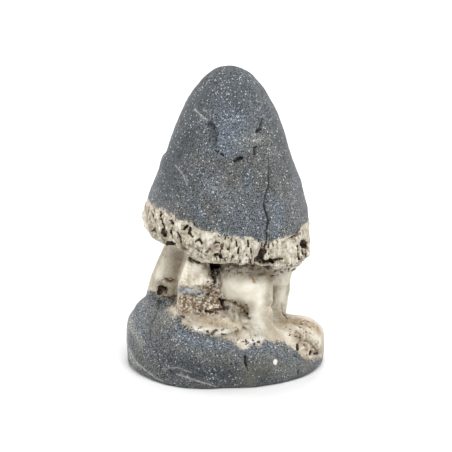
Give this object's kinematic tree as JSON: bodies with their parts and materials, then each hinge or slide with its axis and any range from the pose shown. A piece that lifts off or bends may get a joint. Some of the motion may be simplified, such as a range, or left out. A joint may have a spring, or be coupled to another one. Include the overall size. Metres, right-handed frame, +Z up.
{
  "type": "viewing stone",
  "caption": "Natural viewing stone: a dark worn cone overhanging a pitted pale waist of stout pillars, standing on a thick dark cobble base.",
  "frame": {"origin": "centre of the bounding box at the underside, on the surface the stone stands on", "axes": "+Z up through the cone's top, -Y to the front, where the pale bulge and the block show, +X to the right ledge of the base"},
  "size_m": [0.0952, 0.0742, 0.1476],
  "materials": {
    "stone": "matt fine-grained dark rock with a pale pitted waist"
  },
  "bodies": {
    "root": {"stone": "stone"}
  },
  "joints": []
}
